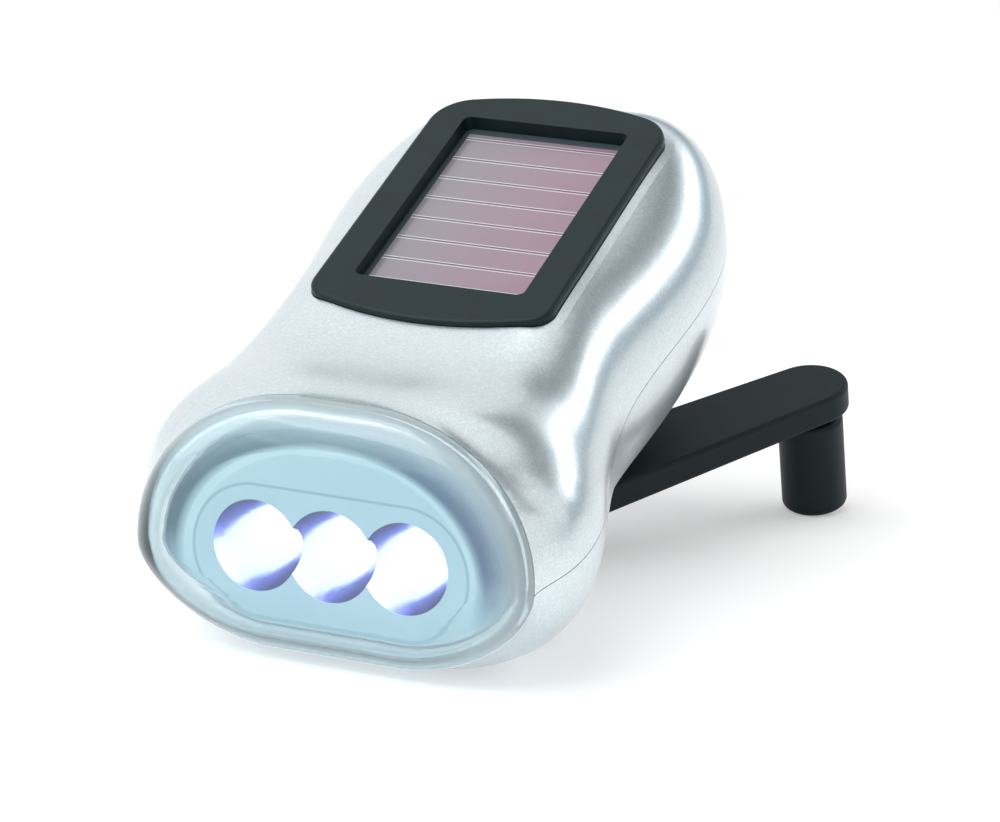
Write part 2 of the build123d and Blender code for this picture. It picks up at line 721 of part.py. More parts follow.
with BuildPart() as gear_plate:
    with BuildSketch(Plane.XY.offset(plate_bottom)):
        with BuildLine():
            Polyline(*plate_corners, close=True)
        make_face()
        fillet(vertices(), 3)
        with Locations([(x, y) for x, y, seat, length in case_screws[2:]]):
            Circle(screw_boss / 2 + 0.6, mode=Mode.SUBTRACT)
        with Locations(crank_xy):
            Circle(shaft_pivot / 2 + running, mode=Mode.SUBTRACT)
        with Locations(rotor_xy):
            Circle(rotor_bearing / 2 + snug, mode=Mode.SUBTRACT)
        with Locations(idler_1_xy, idler_2_xy):
            Circle(axle_diameter / 2 + snug, mode=Mode.SUBTRACT)
        with Locations(plate_screws_xy):
            Circle(plate_screw_diameter / 2 + snug, mode=Mode.SUBTRACT)
    extrude(amount=plate_thickness)
    # Pillars under the corners of the circuit board, each with a peg.
    with BuildSketch(Plane.XY.offset(plate_top - 0.2)):
        with Locations(board_pillars):
            Circle(2.4)
    extrude(amount=board_bottom - snug - plate_top + 0.2)
    with BuildSketch(Plane.XY.offset(board_bottom - 1)):
        with Locations(board_pillars):
            Circle(0.9)
    extrude(amount=board_top + 0.8 - board_bottom + 1)
gear_plate.part.label = "gear_plate"
export_step(gear_plate.part, "parts/gear_plate.step")


def screw_profile(seat, length, diameter, head, head_height):
    """Half section of a pan-head screw that points up, its head below the seat."""
    with BuildLine() as outline:
        Polyline(
            (0, seat + length),
            (diameter / 2 - 0.4, seat + length),
            (diameter / 2, seat + length - 1),
            (diameter / 2, seat),
            (head / 2, seat),
            (head / 2, seat - head_height + 0.4),
            (head / 2 - 0.4, seat - head_height),
            (0, seat - head_height),
            close=True,
        )
    make_face(outline.edges())


def upright_section(place):
    """Vertical plane through an upright axis: x runs outwards, y runs up."""
    return Plane(origin=(place[0], place[1], 0), x_dir=(1, 0, 0), z_dir=(0, -1, 0))


def upright_axis(place):
    """Upright axis through a point of the ground plan."""
    return Axis((place[0], place[1], 0), (0, 0, 1))


for number, (x, y) in enumerate(plate_screws_xy, start=1):
    with BuildPart() as plate_screw:
        with BuildSketch(upright_section((x, y))):
            with BuildLine():
                Polyline(
                    (0, plate_top + 1.2),
                    (plate_screw_head / 2 - 0.3, plate_top + 1.2),
                    (plate_screw_head / 2, plate_top + 0.9),
                    (plate_screw_head / 2, plate_top + snug),
                    (plate_screw_diameter / 2, plate_top + snug),
                    (plate_screw_diameter / 2, plate_bottom - plate_screw_length + 1.3),
                    (plate_screw_diameter / 2 - 0.4, plate_bottom - plate_screw_length + 0.5),
                    (0, plate_bottom - plate_screw_length + 0.5),
                    close=True,
                )
            make_face()
        revolve(axis=upright_axis((x, y)))
        with BuildSketch(Plane.XY.offset(plate_top + 0.7)):
            with Locations((x, y)):
                Rectangle(2.4, 0.5)
                Rectangle(0.5, 2.4)
        extrude(amount=2, mode=Mode.SUBTRACT)
    plate_screw.part.label = f"plate_screw_{number}"
    export_step(plate_screw.part, f"parts/plate_screw_{number}.step")

for number, (x, y, seat, length) in enumerate(case_screws, start=1):
    with BuildPart() as case_screw:
        with BuildSketch(upright_section((x, y))):
            screw_profile(seat - snug, length, screw_diameter, screw_head, screw_head_height)
        revolve(axis=upright_axis((x, y)))
        with BuildSketch(Plane.XY.offset(seat - screw_head_height - 0.5)):
            with Locations((x, y)):
                Rectangle(3, 0.6)
                Rectangle(0.6, 3)
        extrude(amount=1.5, mode=Mode.SUBTRACT)
    case_screw.part.label = f"case_screw_{number}"
    export_step(case_screw.part, f"parts/case_screw_{number}.step")

# ---------------------------------------------------------------- dynamo
with BuildPart() as dynamo_case:
    with BuildSketch(Plane.XY.offset(plate_top + snug)):
        with Locations(rotor_xy):
            Circle(dynamo_diameter / 2)
    extrude(amount=dynamo_height - snug)
    chamfer(edges().group_by(Axis.Z)[-1], 0.8)
    with BuildSketch(Plane.XY.offset(plate_top + dynamo_wall)):
        with Locations(rotor_xy):
            Circle(dynamo_diameter / 2 - dynamo_wall)
    extrude(amount=dynamo_height - 2 * dynamo_wall, mode=Mode.SUBTRACT)
    # The lower bearing reaches down through the plate.
    with BuildSketch(Plane.XY.offset(plate_bottom + 0.2)):
        with Locations(rotor_xy):
            Circle(rotor_bearing / 2)
    extrude(amount=plate_thickness + 0.5)
    with BuildSketch(Plane.XY.offset(plate_bottom)):
        with Locations(rotor_xy):
            Circle(rotor_shaft / 2 + running)
    extrude(amount=board_bottom - plate_bottom, mode=Mode.SUBTRACT)
dynamo_case.part.label = "dynamo_case"
export_step(dynamo_case.part, "parts/dynamo_case.step")

with BuildPart() as dynamo_coil:
    with BuildSketch(Plane.XY.offset(plate_top + dynamo_wall + snug)):
        with Locations(rotor_xy):
            Circle(dynamo_diameter / 2 - dynamo_wall - snug)
            Circle(magnet_diameter / 2 + 0.35, mode=Mode.SUBTRACT)
    extrude(amount=dynamo_height - 2 * dynamo_wall - 2 * snug)
dynamo_coil.part.label = "dynamo_coil"
export_step(dynamo_coil.part, "parts/dynamo_coil.step")

# The rotor is one turning piece: shaft, ring magnet and the driving pinion at its foot.
with BuildPart() as dynamo_rotor:
    with BuildSketch(Plane.XY.offset(level_c)):
        with Locations(rotor_xy):
            Circle(rotor_shaft / 2)
    extrude(amount=plate_top + dynamo_height - 0.1 - level_c)
    with BuildSketch(Plane.XY.offset(level_c)):
        gear_face_at(rotor_xy, rotor_teeth, phase_3)
    extrude(amount=gear_face)
    with BuildSketch(Plane.XY.offset(plate_top + (dynamo_height - magnet_height) / 2)):
        with Locations(rotor_xy):
            Circle(magnet_diameter / 2)
    extrude(amount=magnet_height)
dynamo_rotor.part.label = "dynamo_rotor"
export_step(dynamo_rotor.part, "parts/dynamo_rotor.step")

# ---------------------------------------------------------------- battery and circuit board
with BuildPart() as battery_pack:
    with BuildSketch(Plane.YZ.offset(-battery_length / 2)):
        with Locations((battery_y, battery_height)):
            Circle(battery_diameter / 2)
    extrude(amount=battery_length)
    chamfer(edges().filter_by(GeomType.CIRCLE), 0.6)
    # Grooves where one cell meets the next.
    for x in (-battery_length / 6, battery_length / 6):
        with BuildSketch(Plane.YZ.offset(x - 0.2)):
            with Locations((battery_y, battery_height)):
                Circle(battery_diameter)
                Circle(battery_diameter / 2 - 0.3, mode=Mode.SUBTRACT)
        extrude(amount=0.4, mode=Mode.SUBTRACT)
battery_pack.part.label = "battery_pack"
export_step(battery_pack.part, "parts/battery_pack.step")

with BuildPart() as circuit_board:
    with BuildSketch(Plane.XY.offset(board_bottom)):
        with Locations((0, board_y)):
            RectangleRounded(board_size[0], board_size[1], 1)
        with Locations(board_pillars):
            Circle(0.9 + snug, mode=Mode.SUBTRACT)
    extrude(amount=board_size[2])
circuit_board.part.label = "circuit_board"
export_step(circuit_board.part, "parts/circuit_board.step")

with BuildPart() as board_chip:
    with BuildSketch(Plane.XY.offset(board_top + snug)):
        with Locations((-6, 52)):
            Rectangle(4, 5)
    extrude(amount=1.5)
board_chip.part.label = "board_chip"
export_step(board_chip.part, "parts/board_chip.step")

with BuildPart() as board_capacitor:
    with BuildSketch(Plane.XY.offset(board_top + snug)):
        with Locations((5, 46)):
            Circle(2.5)
    extrude(amount=5)
    fillet(edges().group_by(Axis.Z)[-1], 0.4)
board_capacitor.part.label = "board_capacitor"
export_step(board_capacitor.part, "parts/board_capacitor.step")

with BuildPart() as board_coil:
    with BuildSketch(Plane.XY.offset(board_top + snug)):
        with Locations((4, 60)):
            Circle(4)
    extrude(amount=3.6)
    with BuildSketch(Plane.XY.offset(board_top + 0.9)):
        with Locations((4, 60)):
            Circle(5)
            Circle(3.1, mode=Mode.SUBTRACT)
    extrude(amount=1.8, mode=Mode.SUBTRACT)
board_coil.part.label = "board_coil"
export_step(board_coil.part, "parts/board_coil.step")

# The switch stands on the end of the board and faces the tail.
with BuildPart() as tact_switch:
    with BuildSketch(Plane.XY.offset(board_top + snug)):
        with Locations((0, switch_y)):
            Rectangle(switch_size[0], switch_size[1])
    extrude(amount=switch_size[2])
    with BuildSketch(button_plane.offset(switch_y + switch_size[1] / 2 - tail_end - 0.2)):
        Circle(plunger_diameter / 2)
    extrude(amount=plunger_length + 0.2)
tact_switch.part.label = "tact_switch"
export_step(tact_switch.part, "parts/tact_switch.step")

with BuildPart() as power_button:
    with BuildSketch(button_plane.offset(-wall - button_clearance - button_flange_height)):
        Circle(button_flange / 2)
    extrude(amount=button_flange_height)
    with BuildSketch(button_plane.offset(-wall - button_clearance - 0.2)):
        Circle(button_diameter / 2)
    extrude(amount=wall + button_clearance + 0.2 + button_proud)
    fillet(edges().filter_by(GeomType.CIRCLE).sort_by(Axis.Y)[-1], 0.8)
power_button.part.label = "power_button"
export_step(power_button.part, "parts/power_button.step")

# ---------------------------------------------------------------- crank
with BuildPart() as crank_bush:
    with BuildSketch(upright_section(crank_xy)):
        with BuildLine():
            Polyline(
                (shaft_diameter / 2 + running, foot_height - snug - bush_flange_height),
                (bush_flange / 2, foot_height - snug - bush_flange_height),
                (bush_flange / 2, foot_height - snug),
                (shaft_diameter / 2 + bush_wall, foot_height - snug),
                (shaft_diameter / 2 + bush_wall, bush_top),
                (shaft_diameter / 2 + running, bush_top),
                close=True,
            )
        make_face()
    revolve(axis=upright_axis(crank_xy))
crank_bush.part.label = "crank_bush"
export_step(crank_bush.part, "parts/crank_bush.step")

with BuildPart() as crank_shaft:
    with BuildSketch(upright_section(crank_xy)):
        with BuildLine():
            Polyline(
                (0, arm_top),
                (shaft_diameter / 2, arm_top),
                (shaft_diameter / 2, bush_top + running),
                (shaft_diameter / 2 + 1, bush_top + running),
                (shaft_diameter / 2 + 1, level_a - snug),
                (shaft_diameter / 2, level_a - snug),
                (shaft_diameter / 2, level_a + gear_face),
                (shaft_pivot / 2, level_a + gear_face),
                (shaft_pivot / 2, plate_top),
                (0, plate_top),
                close=True,
            )
        make_face()
    revolve(axis=upright_axis(crank_xy))
    # The square end that drives the arm, drilled for its screw.
    with BuildSketch(Plane.XY.offset(arm_seat + snug)):
        with Locations(Location((crank_xy[0], crank_xy[1], 0), (0, 0, crank_angle))):
            Rectangle(shaft_square, shaft_square)
    extrude(amount=arm_top - arm_seat)
    with BuildSketch(Plane.XY.offset(arm_seat)):
        with Locations(crank_xy):
            Circle(crank_screw_diameter / 2 + snug)
    extrude(amount=crank_screw_length, mode=Mode.SUBTRACT)
crank_shaft.part.label = "crank_shaft"
export_step(crank_shaft.part, "parts/crank_shaft.step")

with BuildPart() as crank_arm:
    with BuildSketch(Plane.XY.offset(arm_bottom)):
        with Locations(crank_xy):
            Circle(arm_root_radius)
        with Locations(knob_xy):
            Circle(arm_tip_radius)
        make_hull()
    extrude(amount=arm_thickness)
    fillet(edges().group_by(Axis.Z)[-1] + edges().group_by(Axis.Z)[0], arm_edge)
    with BuildSketch(Plane.XY.offset(arm_bottom)):
        with Locations(Location((crank_xy[0], crank_xy[1], 0), (0, 0, crank_angle))):
            Rectangle(shaft_square + 2 * snug, shaft_square + 2 * snug)
    extrude(amount=arm_thickness, mode=Mode.SUBTRACT)
    with BuildSketch(Plane.XY.offset(arm_bottom)):
        with Locations(crank_xy):
            Circle(crank_screw_head / 2 + 0.15)
        with Locations(knob_xy):
            Circle(pin_diameter / 2 + snug)
    extrude(amount=arm_seat - arm_bottom, mode=Mode.SUBTRACT)
    with BuildSketch(Plane.XY.offset(arm_bottom)):
        with Locations(knob_xy):
            Circle(pin_diameter / 2 + snug)
    extrude(amount=arm_thickness - 1.4, mode=Mode.SUBTRACT)
crank_arm.part.label = "crank_arm"
export_step(crank_arm.part, "parts/crank_arm.step")

with BuildPart() as crank_screw:
    with BuildSketch(upright_section(crank_xy)):
        screw_profile(arm_seat - snug, crank_screw_length - 0.5, crank_screw_diameter, crank_screw_head,
                      crank_screw_head_height)
    revolve(axis=upright_axis(crank_xy))
    with BuildSketch(Plane.XY.offset(arm_seat - crank_screw_head_height - 0.5)):
        with Locations(crank_xy):
            Rectangle(4, 0.8)
            Rectangle(0.8, 4)
    extrude(amount=1.3, mode=Mode.SUBTRACT)
crank_screw.part.label = "crank_screw"
export_step(crank_screw.part, "parts/crank_screw.step")

# The knob turns on a shoulder pin that is pressed into the arm from below.
with BuildPart() as knob_pin:
    with BuildSketch(upright_section(knob_xy)):
        with BuildLine():
            Polyline(
                (0, knob_bottom + 0.4),
                (pin_head / 2 - 0.4, knob_bottom + 0.4),
                (pin_head / 2, knob_bottom + 0.8),
                (pin_head / 2, knob_bottom + 0.4 + pin_head_height),
                (pin_diameter / 2, knob_bottom + 0.4 + pin_head_height),
                (pin_diameter / 2, arm_top - 1.4 - 0.1),
                (0, arm_top - 1.4 - 0.1),
                close=True,
            )
        make_face()
    revolve(axis=upright_axis(knob_xy))
knob_pin.part.label = "knob_pin"
export_step(knob_pin.part, "parts/knob_pin.step")

with BuildPart() as crank_knob:
    with BuildSketch(upright_section(knob_xy)):
        with BuildLine():
            Line((pin_diameter / 2 + running, knob_top), (knob_collar / 2, knob_top))
            Line((knob_collar / 2, knob_top), (knob_collar / 2, knob_top - knob_neck))
            RadiusArc(
                (knob_collar / 2, knob_top - knob_neck),
                (knob_diameter / 2, knob_top - knob_neck - (knob_diameter - knob_collar) / 2),
                (knob_diameter - knob_collar) / 2,
            )
            Line(
                (knob_diameter / 2, knob_top - knob_neck - (knob_diameter - knob_collar) / 2),
                (knob_diameter / 2, knob_bottom + knob_round),
            )
            RadiusArc(
                (knob_diameter / 2, knob_bottom + knob_round),
                (knob_diameter / 2 - knob_round, knob_bottom),
                knob_round,
            )
            Polyline(
                (knob_diameter / 2 - knob_round, knob_bottom),
                (pin_head / 2 + 0.3, knob_bottom),
                (pin_head / 2 + 0.3, knob_bottom + 0.55 + pin_head_height),
                (pin_diameter / 2 + running, knob_bottom + 0.55 + pin_head_height),
                (pin_diameter / 2 + running, knob_top),
            )
        make_face()
    revolve(axis=upright_axis(knob_xy))
crank_knob.part.label = "crank_knob"
export_step(crank_knob.part, "parts/crank_knob.step")
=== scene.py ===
import math

import bmesh
import bpy
from mathutils import Matrix, Vector

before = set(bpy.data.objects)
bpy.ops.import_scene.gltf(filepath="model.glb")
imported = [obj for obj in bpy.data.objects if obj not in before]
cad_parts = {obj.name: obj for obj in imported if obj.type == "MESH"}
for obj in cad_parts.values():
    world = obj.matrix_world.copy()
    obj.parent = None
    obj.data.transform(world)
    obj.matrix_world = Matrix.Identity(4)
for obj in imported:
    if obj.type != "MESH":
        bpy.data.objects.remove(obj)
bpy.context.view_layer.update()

# ---------------------------------------------------------------- camera
# A long lens looks down on the nose from its front right, a little rolled, so that the torch
# runs from the lower left to the upper right.
camera_place = Vector((0.2351, -0.4284, 0.3094))
camera_right = Vector((0.9113, 0.4024, -0.0870))
camera_up = Vector((-0.1307, 0.4831, 0.8658))
camera_back = camera_right.cross(camera_up).normalized()
camera_data = bpy.data.cameras.new("camera")
camera_data.lens = 140.4
camera_data.sensor_width = 36.0
camera_data.clip_start = 0.01
camera = bpy.data.objects.new("camera", camera_data)
camera.matrix_world = Matrix.Translation(camera_place) @ Matrix(
    (camera_right, camera_up, camera_back)
).transposed().to_4x4()
bpy.context.scene.collection.objects.link(camera)
bpy.context.scene.camera = camera
bpy.context.scene.view_settings.view_transform = "Standard"


# ---------------------------------------------------------------- table
# White table top. The torch leans on it with the underside of its nose and with the knob, so the
# top slopes against the torch's own axes; the slope comes from those two pieces.
def linear(colour, alpha=1.0):
    """An sRGB hex colour as the linear numbers that a shader socket takes."""
    parts = [int(colour[i:i + 2], 16) / 255 for i in (1, 3, 5)]
    return [p / 12.92 if p <= 0.04045 else ((p + 0.055) / 1.055) ** 2.4 for p in parts] + [alpha]


def add(tree, kind, inputs=None, **settings):
    """Adds a node with its settings; an input takes a value, or the socket it is linked to."""
    node = tree.nodes.new(kind)
    for name, value in settings.items():
        setattr(node, name, value)
    for name, value in (inputs or {}).items():
        if isinstance(value, bpy.types.NodeSocket):
            tree.links.new(value, node.inputs[name])
        else:
            node.inputs[name].default_value = value
    return node


def seen_ray(tree):
    """1 for a ray that is seen directly, in a reflection or through clear plastic, otherwise 0."""
    ray = add(tree, "ShaderNodeLightPath")
    seen_or_mirrored = add(tree, "ShaderNodeMath", {
        0: ray.outputs["Is Camera Ray"], 1: ray.outputs["Is Glossy Ray"]}, operation="MAXIMUM")
    seen_at_all = add(tree, "ShaderNodeMath", {
        0: seen_or_mirrored.outputs[0], 1: ray.outputs["Is Transmission Ray"]}, operation="MAXIMUM")
    return seen_at_all.outputs[0]


def new_piece(name, mesh_maker, finish):
    """An object at the origin made from a bmesh, with one material."""
    mesh = bpy.data.meshes.new(name)
    mesh_maker.to_mesh(mesh)
    mesh_maker.free()
    mesh.materials.append(finish)
    piece = bpy.data.objects.new(name, mesh)
    bpy.context.scene.collection.objects.link(piece)
    return piece


nose_end = 0.03
nose_points = [
    v.co for n in ("lower_shell", "front_lens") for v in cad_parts[n].data.vertices
    if v.co.y < nose_end]
knob_points = [v.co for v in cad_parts["crank_knob"].data.vertices]
# Which two points touch depends on the slope, so a few rounds settle it from a first guess.
slope = -0.25
slope_rounds = 4
for step in range(slope_rounds):
    knob_touch = min(knob_points, key=lambda p: p.z - slope * p.y)
    slope = max((p.z - knob_touch.z) / (p.y - knob_touch.y) for p in nose_points)
table_gap = 0.00005
table_half_width = 0.6
table_glow = 0.33
table_height = knob_touch.z - slope * knob_touch.y - table_gap

table_paper = bpy.data.materials.new("white laminate")
table_paper.use_nodes = True
tree = table_paper.node_tree
shader = tree.nodes["Principled BSDF"]
shader.inputs["Base Color"].default_value = linear("#f4f4f4")
shader.inputs["Roughness"].default_value = 0.7
shader.inputs["Specular IOR Level"].default_value = 0.2
seen = seen_ray(tree)
glow = add(tree, "ShaderNodeEmission", {"Color": linear("#ffffff"), "Strength": table_glow})
nothing = add(tree, "ShaderNodeEmission", {"Strength": 0.0})
shown_glow = add(tree, "ShaderNodeMixShader", {
    0: seen, 1: nothing.outputs[0], 2: glow.outputs[0]})
both = add(tree, "ShaderNodeAddShader", {0: shader.outputs[0], 1: shown_glow.outputs[0]})
tree.links.new(both.outputs[0], tree.nodes["Material Output"].inputs["Surface"])

table_mesh = bmesh.new()
bmesh.ops.create_grid(table_mesh, x_segments=2, y_segments=2, size=table_half_width)
tilt = Matrix.Rotation(math.atan(slope), 4, "X")
bmesh.ops.transform(
    table_mesh, matrix=Matrix.Translation((0, 0, table_height)) @ tilt, verts=table_mesh.verts)
table = new_piece("table_top", table_mesh, table_paper)

# ---------------------------------------------------------------- studio
# White room, one large soft box overhead, one from the left front and one low strip behind the
# right flank. Dark cards, seen only in reflections, draw the darker streaks in the silver paint.
world = bpy.data.worlds.new("white room")
bpy.context.scene.world = world
world.use_nodes = True
tree = world.node_tree
room = tree.nodes["Background"]
room.inputs["Color"].default_value = linear("#ffffff")
seen = seen_ray(tree)
room_light = 0.36
strength = add(tree, "ShaderNodeMapRange", {
    "Value": seen, "To Min": room_light, "To Max": 1.0})
tree.links.new(strength.outputs[0], room.inputs["Strength"])

torch_middle = Vector((0.0, 0.035, 0.025))
lamps = [
    # name, direction from the torch, distance, size, watts
    ("overhead box", (-0.25, -0.15, 1.0), 0.9, (0.9, 0.9), 6.0),
    ("left front box", (-0.9, -0.6, 0.7), 1.0, (0.7, 0.7), 1.6),
    ("rear strip", (0.75, 0.85, 0.42), 0.9, (0.9, 0.2), 1.4),
]
for name, direction, distance, size, watts in lamps:
    lamp_data = bpy.data.lights.new(name, "AREA")
    lamp_data.shape = "RECTANGLE"
    lamp_data.size, lamp_data.size_y = size
    lamp_data.energy = watts
    lamp = bpy.data.objects.new(name, lamp_data)
    aim = Vector(direction).normalized()
    lamp.matrix_world = Matrix.Translation(torch_middle + aim * distance) @ (
        aim.to_track_quat("Z", "Y").to_matrix().to_4x4())
    bpy.context.scene.collection.objects.link(lamp)

cards = [
    # name, colour, lowest and highest elevation, first and last azimuth, in degrees
    ("upper_card", "#1e3138", 30, 52, 4, 90),
    ("lower_card", "#6f8793", -2, 14, -30, 85),
]
card_radius = 0.75
card_rows, card_steps = 6, 24
for name, colour, low, high, first, last in cards:
    card_paper = bpy.data.materials.new(name.replace("_", " ") + " board")
    card_paper.use_nodes = True
    tree = card_paper.node_tree
    tree.nodes.remove(tree.nodes["Principled BSDF"])
    tone = add(tree, "ShaderNodeEmission", {"Color": linear(colour), "Strength": 1.0})
    tree.links.new(tone.outputs[0], tree.nodes["Material Output"].inputs["Surface"])
    card_mesh = bmesh.new()
    rim = []
    for row in range(card_rows + 1):
        angle = math.radians(low + (high - low) * row / card_rows)
        reach = Vector((0, math.cos(angle), math.sin(angle))) * card_radius
        rim.append(card_mesh.verts.new(reach))
    edges = [card_mesh.edges.new(pair) for pair in zip(rim, rim[1:])]
    bmesh.ops.rotate(
        card_mesh, cent=(0, 0, 0), matrix=Matrix.Rotation(math.radians(-first), 3, "Z"), verts=rim)
    bmesh.ops.spin(
        card_mesh, geom=rim + edges, cent=(0, 0, 0), axis=(0, 0, 1), steps=card_steps,
        angle=-math.radians(last - first))
    bmesh.ops.translate(card_mesh, vec=torch_middle, verts=card_mesh.verts)
    card = new_piece(name, card_mesh, card_paper)
    card.visible_camera = False
    card.visible_diffuse = False
    card.visible_shadow = False
    card.visible_transmission = False


# ---------------------------------------------------------------- upper and lower shell
# Two moulded ABS halves sprayed with silver metallic lacquer: bright flakes in a cool clear coat,
# drawn 0.24 mm across, several times the real size, so that they show, with a slight orange peel.
def surface(name, dark, light, roughness, patch, grain, depth, **sockets):
    """A material with colour patches and a fine grain; patch, grain and depth are in mm."""
    made = bpy.data.materials.new(name)
    made.use_nodes = True
    tree = made.node_tree
    shader = tree.nodes["Principled BSDF"]
    place = add(tree, "ShaderNodeTexCoord").outputs["Object"]
    patches = add(tree, "ShaderNodeTexNoise", {"Vector": place, "Scale": 1000 / patch, "Detail": 4.0})
    colour = add(tree, "ShaderNodeMix", {
        "Factor": patches.outputs["Fac"], 6: linear(dark), 7: linear(light)}, data_type="RGBA")
    grains = add(tree, "ShaderNodeTexNoise", {"Vector": place, "Scale": 1000 / grain, "Detail": 2.0})
    bump = add(tree, "ShaderNodeBump", {
        "Height": grains.outputs["Fac"], "Strength": 0.5, "Distance": depth / 1000})
    tree.links.new(colour.outputs[2], shader.inputs["Base Color"])
    tree.links.new(bump.outputs[0], shader.inputs["Normal"])
    shader.inputs["Roughness"].default_value = roughness
    for socket, value in sockets.items():
        shader.inputs[socket.replace("_", " ")].default_value = value
    return made


def dress(finish, *names):
    """Gives CAD nodes a material."""
    for name in names:
        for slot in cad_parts[name].material_slots:
            slot.material = finish


silver_lacquer = surface(
    "silver metallic lacquer on ABS", "#ccd8de", "#d6e1e6", 0.29, 9.0, 2.2, 0.002,
    Metallic=0.86, Coat_Weight=0.35, Coat_Roughness=0.12)
tree = silver_lacquer.node_tree
shader = tree.nodes["Principled BSDF"]
place = add(tree, "ShaderNodeTexCoord").outputs["Object"]
flake_size = 0.24
flakes = add(tree, "ShaderNodeTexVoronoi", {"Vector": place, "Scale": 1000 / flake_size})
flake_tone = add(tree, "ShaderNodeSeparateColor", {0: flakes.outputs["Color"]})
flake_share = add(tree, "ShaderNodeMapRange", {
    "Value": flake_tone.outputs[0], "From Min": 0.3, "From Max": 1.0, "To Max": 0.45})
base = shader.inputs["Base Color"].links[0].from_socket
flaked = add(tree, "ShaderNodeMix", {
    "Factor": flake_share.outputs[0], 6: base, 7: linear("#f3f9fa")}, data_type="RGBA")
tree.links.new(flaked.outputs[2], shader.inputs["Base Color"])
peel = shader.inputs["Normal"].links[0].from_socket
flake_lean = add(tree, "ShaderNodeBump", {
    "Height": flake_tone.outputs[1], "Strength": 0.26, "Distance": 0.00006, "Normal": peel})
tree.links.new(flake_lean.outputs[0], shader.inputs["Normal"])
dress(silver_lacquer, "upper_shell", "lower_shell")

# ---------------------------------------------------------------- bezel
# Black ABS frame, snapped into the crown of the upper shell. Spark-eroded mould: a fine satin
# texture that turns blue-green where it catches the light.
bezel_plastic = surface(
    "satin black ABS", "#08191c", "#0f272b", 0.4, 6.0, 0.22, 0.012, Specular_IOR_Level=0.22)
dress(bezel_plastic, "panel_bezel")

# ---------------------------------------------------------------- solar panel
# Amorphous silicon on glass: eight mauve strips, a dark border and a thin pale pair of contact
# lines at each joint between two strips. Clear resin on top.
panel_y, panel_z, panel_pitch = 0.042, 0.046, math.radians(8)
strip_pitch = 5.35
strip_middle = 2.6
border_at_side, border_at_rear = 12.9, 22.6
line_offset = 0.3
line_width = 0.17
panel_glass = surface(
    "amorphous silicon under resin", "#987a8c", "#a5869a", 0.22, 14.0, 3.0, 0.002,
    Coat_Weight=0.6, Coat_Roughness=0.06)
tree = panel_glass.node_tree
shader = tree.nodes["Principled BSDF"]
place = add(tree, "ShaderNodeTexCoord").outputs["Object"]
on_panel = add(tree, "ShaderNodeMapping", {
    "Vector": place, "Location": (0, -panel_y, -panel_z)}, vector_type="POINT")
laid_flat = add(tree, "ShaderNodeVectorRotate", {
    "Vector": on_panel.outputs[0], "Axis": (1, 0, 0), "Angle": -panel_pitch}, rotation_type="AXIS_ANGLE")
in_mm = add(tree, "ShaderNodeVectorMath", {0: laid_flat.outputs[0], "Scale": 1000.0}, operation="SCALE")
across = add(tree, "ShaderNodeSeparateXYZ", {0: in_mm.outputs[0]})
# One strip has its middle strip_middle behind the panel's. Joints lie half a pitch either side of it,
# and from there a pitch apart.
from_first = add(tree, "ShaderNodeMath", {
    0: across.outputs["Y"], 1: strip_middle - 4 * strip_pitch}, operation="SUBTRACT")
strip_count = add(tree, "ShaderNodeMath", {0: from_first.outputs[0], 1: strip_pitch}, operation="DIVIDE")
strip_share = add(tree, "ShaderNodeMath", {0: strip_count.outputs[0]}, operation="FRACT")
off_joint = add(tree, "ShaderNodeMath", {0: strip_share.outputs[0], 1: 0.5}, operation="SUBTRACT")
joint_side = add(tree, "ShaderNodeMath", {0: off_joint.outputs[0]}, operation="ABSOLUTE")
joint_mm = add(tree, "ShaderNodeMath", {0: joint_side.outputs[0], 1: strip_pitch}, operation="MULTIPLY")
line = add(tree, "ShaderNodeMath", {
    0: joint_mm.outputs[0], 1: line_offset, 2: line_width / 2}, operation="COMPARE")
side = add(tree, "ShaderNodeMath", {0: across.outputs["X"]}, operation="ABSOLUTE")
border_side = add(tree, "ShaderNodeMath", {0: side.outputs[0], 1: border_at_side}, operation="GREATER_THAN")
border_rear = add(tree, "ShaderNodeMath", {
    0: across.outputs["Y"], 1: border_at_rear}, operation="GREATER_THAN")
border = add(tree, "ShaderNodeMath", {
    0: border_side.outputs[0], 1: border_rear.outputs[0]}, operation="MAXIMUM")
# Towards -X the strips turn grey: a painted reflection laid over the mauve.
painted_reflection_share = add(tree, "ShaderNodeMapRange", {
    "Value": across.outputs["X"], "From Min": -13.0, "From Max": 10.0, "To Min": 0.75, "To Max": 0.0})
mauve = shader.inputs["Base Color"].links[0].from_socket
strips_and_painted_reflection = add(tree, "ShaderNodeMix", {
    "Factor": painted_reflection_share.outputs[0], 6: mauve, 7: linear("#8c929b")}, data_type="RGBA")
lined = add(tree, "ShaderNodeMix", {
    "Factor": line.outputs[0], 6: strips_and_painted_reflection.outputs[2], 7: linear("#dde0e6")}, data_type="RGBA")
border_or_painted_rim_shade = add(tree, "ShaderNodeMix", {
    "Factor": border.outputs[0], 6: lined.outputs[2], 7: linear("#46535a")}, data_type="RGBA")
tree.links.new(border_or_painted_rim_shade.outputs[2], shader.inputs["Base Color"])
dress(panel_glass, "solar_panel")

